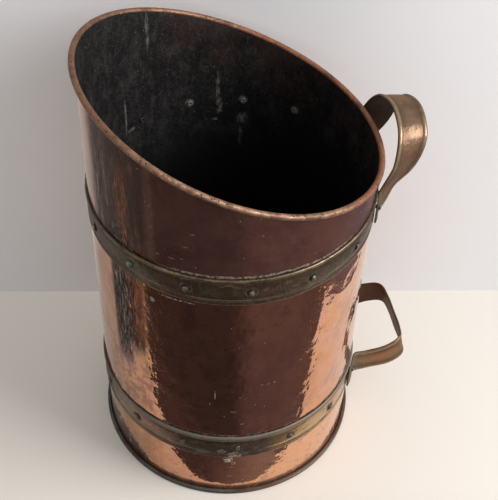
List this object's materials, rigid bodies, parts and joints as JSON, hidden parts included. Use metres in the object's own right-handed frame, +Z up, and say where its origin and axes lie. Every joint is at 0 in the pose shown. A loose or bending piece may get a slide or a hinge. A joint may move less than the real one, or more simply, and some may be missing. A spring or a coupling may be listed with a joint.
{
  "type": "coal scuttle",
  "caption": "Upright cylindrical copper scuttle with a slanted wired mouth, riveted brass bands and a brass strap handle on each band, for carrying and pouring coal or kindling.",
  "frame": {"origin": "middle of the base, on the face that it rests on", "axes": "+Z up; +X towards the side of the handles, where the slanted mouth is low; the pouring lip is towards -X"},
  "size_m": [0.3479, 0.2892, 0.4949],
  "materials": {
    "copper_wall": "aged copper sheet, hammered below the upper band, polished through in patches",
    "copper_base": "dull dark copper",
    "rim_wire": "plain drawn wire",
    "band_brass": "aged olive brass",
    "upper_handle_brass": "aged brass, worn bright at the grip",
    "lower_handle_brass": "aged reddish brass with verdigris at the feet",
    "rivet_copper": "worn copper with dark edges"
  },
  "bodies": {
    "root": {"body_shell": "copper_wall", "base_plate": "copper_base", "rim_wire": "rim_wire", "upper_band": "band_brass", "lower_band": "band_brass", "upper_handle": "upper_handle_brass", "lower_handle": "lower_handle_brass", "upper_rivet_00": "rivet_copper", "upper_rivet_01": "rivet_copper", "upper_rivet_02": "rivet_copper", "upper_rivet_03": "rivet_copper", "upper_rivet_04": "rivet_copper", "upper_rivet_05": "rivet_copper", "upper_rivet_06": "rivet_copper", "upper_rivet_07": "rivet_copper", "upper_rivet_08": "rivet_copper", "upper_rivet_09": "rivet_copper", "upper_rivet_10": "rivet_copper", "upper_rivet_11": "rivet_copper", "upper_rivet_12": "rivet_copper", "upper_rivet_13": "rivet_copper", "upper_rivet_14": "rivet_copper", "lower_rivet_00": "rivet_copper", "lower_rivet_01": "rivet_copper", "lower_rivet_02": "rivet_copper", "lower_rivet_03": "rivet_copper", "lower_rivet_04": "rivet_copper", "lower_rivet_05": "rivet_copper", "lower_rivet_06": "rivet_copper", "lower_rivet_07": "rivet_copper", "lower_rivet_08": "rivet_copper", "lower_rivet_09": "rivet_copper", "lower_rivet_10": "rivet_copper", "lower_rivet_11": "rivet_copper", "lower_rivet_12": "rivet_copper", "lower_rivet_13": "rivet_copper", "lower_rivet_14": "rivet_copper"}
  },
  "joints": []
}
